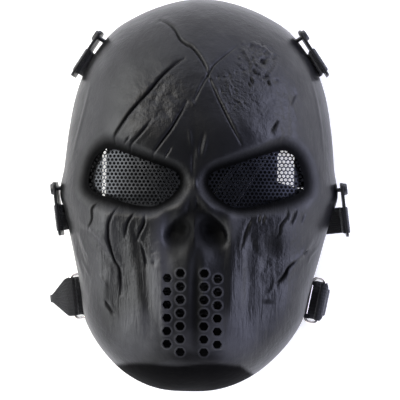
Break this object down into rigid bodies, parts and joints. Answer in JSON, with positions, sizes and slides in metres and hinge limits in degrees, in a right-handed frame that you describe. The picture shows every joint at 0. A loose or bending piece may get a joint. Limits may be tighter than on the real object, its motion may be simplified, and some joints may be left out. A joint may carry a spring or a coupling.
{
  "type": "skull mask",
  "caption": "Full-face skull mask of dark moulded plastic with steel eye screens, breathing holes and elastic webbing straps, lying on its rim",
  "frame": {"origin": "on the floor under the middle of the whole mask's bounding box, with the mask lying on its rim and the face up", "axes": "+X across the face towards the mask's right edge as it is seen from in front, +Y from the chin to the crown, +Z out of the face and up"},
  "size_m": [0.2106, 0.2714, 0.1121],
  "materials": {
    "shell_plastic": "satin",
    "screen_steel": "satin",
    "buckle_plastic": "satin",
    "strap_webbing": "woven",
    "ring_chrome": "polished"
  },
  "bodies": {
    "root": {"shell": "shell_plastic", "eye_screen_left": "screen_steel", "eye_screen_right": "screen_steel", "buckle_temple_left": "buckle_plastic", "buckle_temple_right": "buckle_plastic", "buckle_ear_left": "buckle_plastic", "buckle_ear_right": "buckle_plastic", "stud_temple_left": "buckle_plastic", "stud_temple_right": "buckle_plastic", "stud_ear_left": "buckle_plastic", "stud_ear_right": "buckle_plastic", "strap_ear": "strap_webbing", "strap_temple_left": "strap_webbing", "strap_temple_right": "strap_webbing", "strap_jaw": "strap_webbing", "ring_jaw_left": "ring_chrome", "ring_jaw_right": "ring_chrome"}
  },
  "joints": []
}
